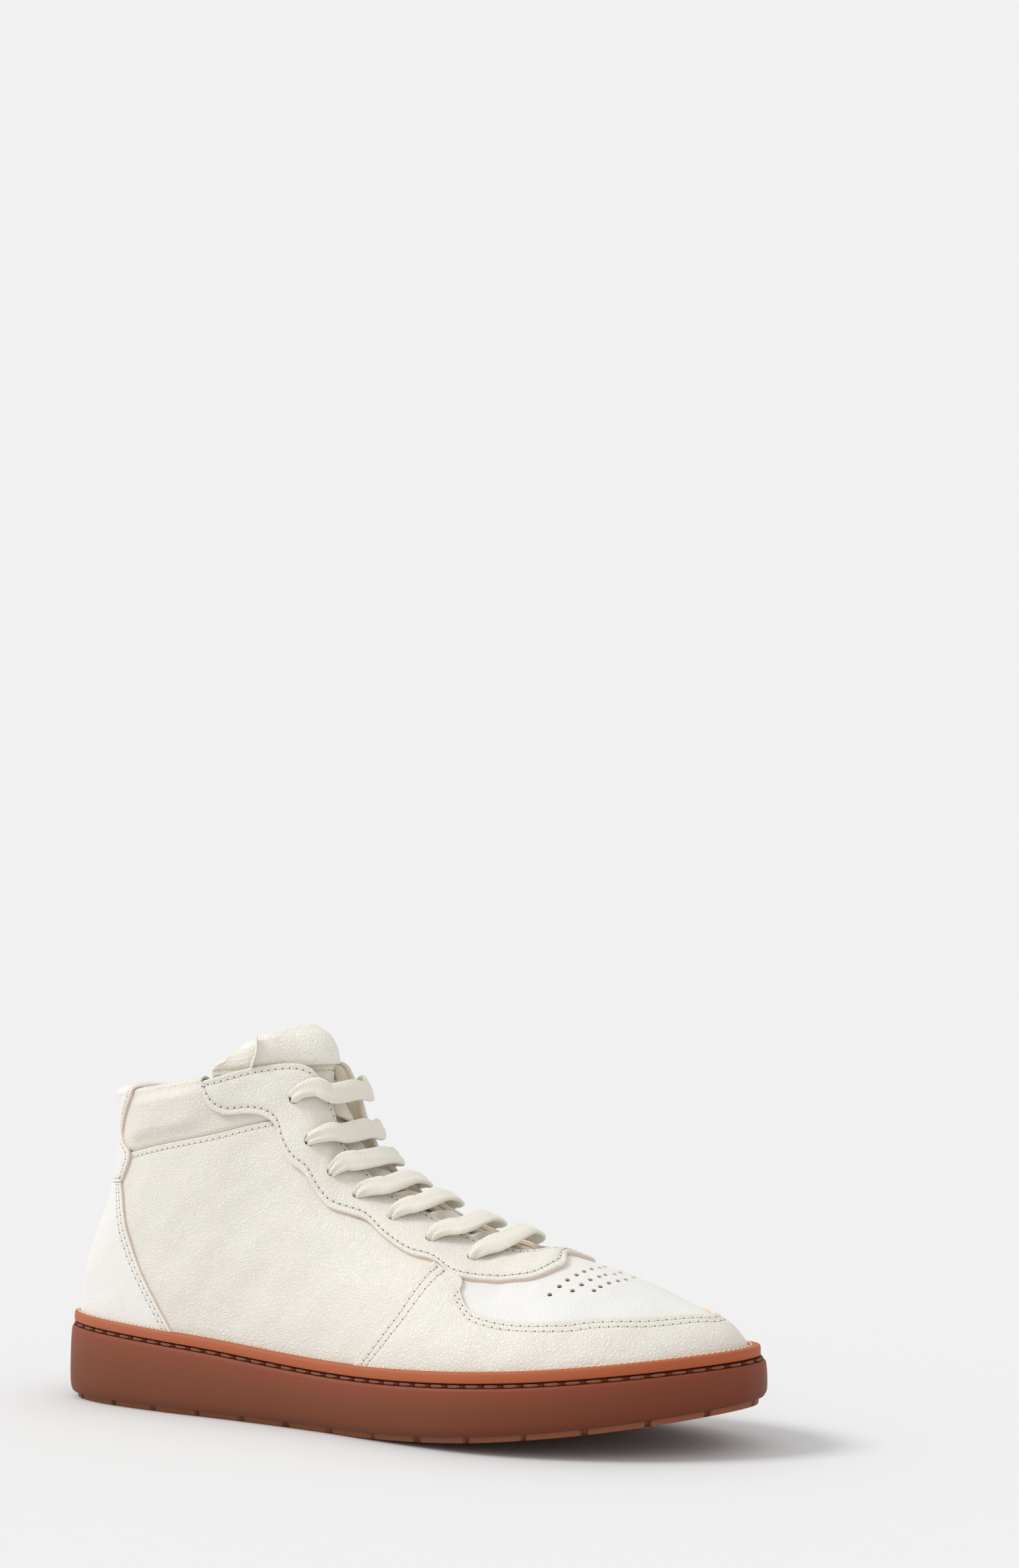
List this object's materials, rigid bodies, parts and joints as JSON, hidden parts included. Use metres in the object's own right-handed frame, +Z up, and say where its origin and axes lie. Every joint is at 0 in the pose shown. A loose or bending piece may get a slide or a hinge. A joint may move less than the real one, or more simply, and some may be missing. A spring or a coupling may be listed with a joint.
{
  "type": "basketball shoe",
  "caption": "Mid-cut basketball shoe for the right foot: off-white leather upper with punched lacing flaps and a padded tongue, on a stitched rubber cupsole.",
  "frame": {"origin": "on the ground plane, at the centre of the bounding box", "axes": "+X from heel to toe, +Y to the inner (medial) side, +Z up"},
  "size_m": [0.3, 0.1046, 0.15],
  "materials": {
    "outsole": "matt moulded rubber",
    "cupsole_rubber": "matt red-brown moulded rubber",
    "welt_rubber": "matt orange-tan rubber",
    "sole_thread": "waxed thread",
    "midsole": "closed-cell foam",
    "board": "fibre board",
    "footbed": "open-cell foam",
    "footbed_cloth": "woven cloth",
    "lining_cloth": "woven cloth",
    "suede": "brushed",
    "stiffener": "matt",
    "padding": "open-cell foam",
    "vamp_leather": "soft full-grain leather, off-white",
    "overlay_leather": "soft full-grain leather, off-white",
    "quarter_leather": "soft full-grain leather, off-white",
    "collar_leather": "soft padded leather, cream",
    "backing_cloth": "woven cloth",
    "tongue_leather": "soft full-grain leather, cream",
    "lace_cotton": "flat woven cotton",
    "lace_tip": "clear-white film"
  },
  "bodies": {
    "shoe": {"outsole_tread": "outsole", "cupsole": "cupsole_rubber", "welt_strip": "welt_rubber", "sidewall_stitching": "sole_thread", "midsole_foam": "midsole", "insole_board": "board", "footbed_foam": "footbed", "footbed_cover": "footbed_cloth", "vamp_lining": "lining_cloth", "quarter_lining": "lining_cloth", "heel_grip": "suede", "toe_puff": "stiffener", "heel_counter": "stiffener", "collar_foam": "padding", "vamp": "vamp_leather", "mudguard": "overlay_leather", "quarter_lateral": "quarter_leather", "quarter_medial": "quarter_leather", "heel_panel": "overlay_leather", "heel_tab": "overlay_leather", "collar_panel_lateral": "collar_leather", "collar_panel_medial": "collar_leather", "eyestay": "overlay_leather", "eyestay_backing": "backing_cloth", "tongue_panel": "tongue_leather", "tongue_lining": "lining_cloth", "lace_keeper": "tongue_leather", "shoelace": "lace_cotton", "lace_tips": "lace_tip"},
    "tongue_top": {"tongue_top": "tongue_leather", "tongue_top_foam": "padding", "tongue_top_lining": "lining_cloth"},
    "pull_band": {"tongue_pull_band": "tongue_leather"}
  },
  "joints": [
    {"name": "tongue_fold", "type": "hinge", "parent": "shoe", "child": "tongue_top", "pos_m": [-0.031, 0.00165, 0.1306], "axis": [0, 1, 0], "range_deg": [-2, 45]},
    {"name": "pull_band_lift", "type": "hinge", "parent": "tongue_top", "child": "pull_band", "pos_m": [-0.0459, 0.01425, 0.13631], "axis": [-0.3088, -0.1346, 0.9415], "range_deg": [0, 50]}
  ]
}
